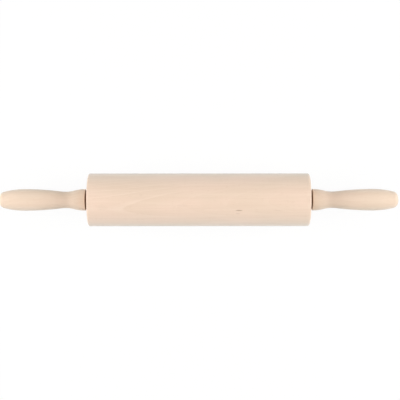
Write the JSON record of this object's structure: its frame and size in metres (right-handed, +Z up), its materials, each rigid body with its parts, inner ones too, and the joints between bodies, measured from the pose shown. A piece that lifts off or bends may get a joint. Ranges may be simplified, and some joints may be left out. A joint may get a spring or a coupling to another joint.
{
  "type": "rolling pin",
  "caption": "Wooden rolling pin: a cylindrical barrel that turns freely on a through axle between two fixed, turned handles.",
  "frame": {"origin": "middle of the barrel's length, on the axle's axis", "axes": "+X along the axle towards the right handle, +Z up, +Y square to both"},
  "size_m": [0.452, 0.06, 0.06],
  "materials": {
    "barrel_beech": "fine sanded, unfinished",
    "handle_beech": "turned and sanded, unfinished",
    "axle_steel": "drawn, knurled ends",
    "bush_nylon": "moulded",
    "washer_nylon": "moulded"
  },
  "bodies": {
    "spindle": {"axle": "axle_steel", "left_handle": "handle_beech", "right_handle": "handle_beech"},
    "barrel": {"barrel": "barrel_beech", "left_bush": "bush_nylon", "right_bush": "bush_nylon"},
    "left_washer": {"left_thrust_washer": "washer_nylon"},
    "right_washer": {"right_thrust_washer": "washer_nylon"}
  },
  "joints": [
    {"name": "barrel_spin", "type": "hinge", "parent": "spindle", "child": "barrel", "pos_m": [0, 0, 0], "axis": [1, 0, 0], "continuous": true},
    {"name": "left_washer_spin", "type": "hinge", "parent": "spindle", "child": "left_washer", "pos_m": [-0.12735, 0, 0], "axis": [1, 0, 0], "continuous": true},
    {"name": "right_washer_spin", "type": "hinge", "parent": "spindle", "child": "right_washer", "pos_m": [0.12735, 0, 0], "axis": [1, 0, 0], "continuous": true}
  ]
}
